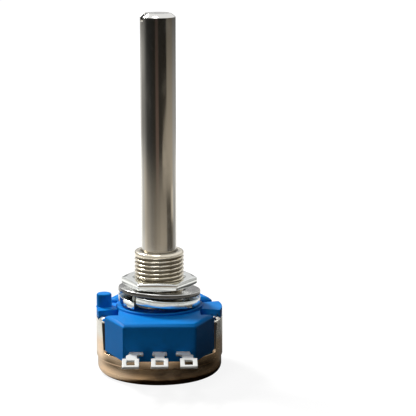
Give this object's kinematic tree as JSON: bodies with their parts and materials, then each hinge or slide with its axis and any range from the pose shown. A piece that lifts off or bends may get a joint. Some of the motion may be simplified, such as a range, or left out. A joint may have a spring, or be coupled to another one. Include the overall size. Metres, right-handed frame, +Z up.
{
  "type": "rotary potentiometer",
  "caption": "Rotary potentiometer with a long slotted plain shaft, threaded bushing with nut and washers, blue moulded housing, drawn metal cover and a row of solder lugs.",
  "frame": {"origin": "centre of the flat rear face of the metal cover, on the shaft axis", "axes": "+Z up the shaft, -Y the way the solder lugs leave, -X the side with the locating peg"},
  "size_m": [0.023, 0.0319, 0.0655],
  "materials": {
    "shaft_steel": "polished ground steel",
    "nickel_bushing": "nickel plated, fine thread",
    "nut_chrome": "bright nickel plate",
    "washer_steel": "satin plated steel",
    "lock_steel": "bright plated spring steel",
    "blue_plastic": "moulded, low sheen",
    "cover_steel": "drawn sheet, warm nickel plate",
    "tinned_brass": "tinned",
    "rivet_brass": "plain brass",
    "laminate": "paper laminate",
    "carbon_print": "printed carbon",
    "silver_print": "printed silver",
    "black_plastic": "moulded",
    "spring_bronze": "rolled spring sheet",
    "nylon": "plain",
    "fibre": "pressed fibre paper"
  },
  "bodies": {
    "base": {"bushing": "nickel_bushing", "hex_nut": "nut_chrome", "flat_washer": "washer_steel", "lock_washer": "lock_steel", "housing": "blue_plastic", "rear_cover": "cover_steel", "terminal_left": "tinned_brass", "terminal_middle": "tinned_brass", "terminal_right": "tinned_brass", "rivet_left": "rivet_brass", "rivet_middle": "rivet_brass", "rivet_right": "rivet_brass", "element_board": "laminate", "resistive_track": "carbon_print", "collector_ring": "silver_print", "pad_left": "silver_print", "pad_right": "silver_print", "insulator_disc": "fibre"},
    "turning_shaft": {"shaft": "shaft_steel", "rotor": "black_plastic", "wiper_spring": "spring_bronze", "stop_plate": "washer_steel", "thrust_washer": "nylon", "end_clip": "washer_steel"}
  },
  "joints": [
    {"name": "shaft_rotation", "type": "hinge", "parent": "base", "child": "turning_shaft", "pos_m": [0, 0, 0], "axis": [0, 0, 1], "range_deg": [-150, 150]}
  ]
}
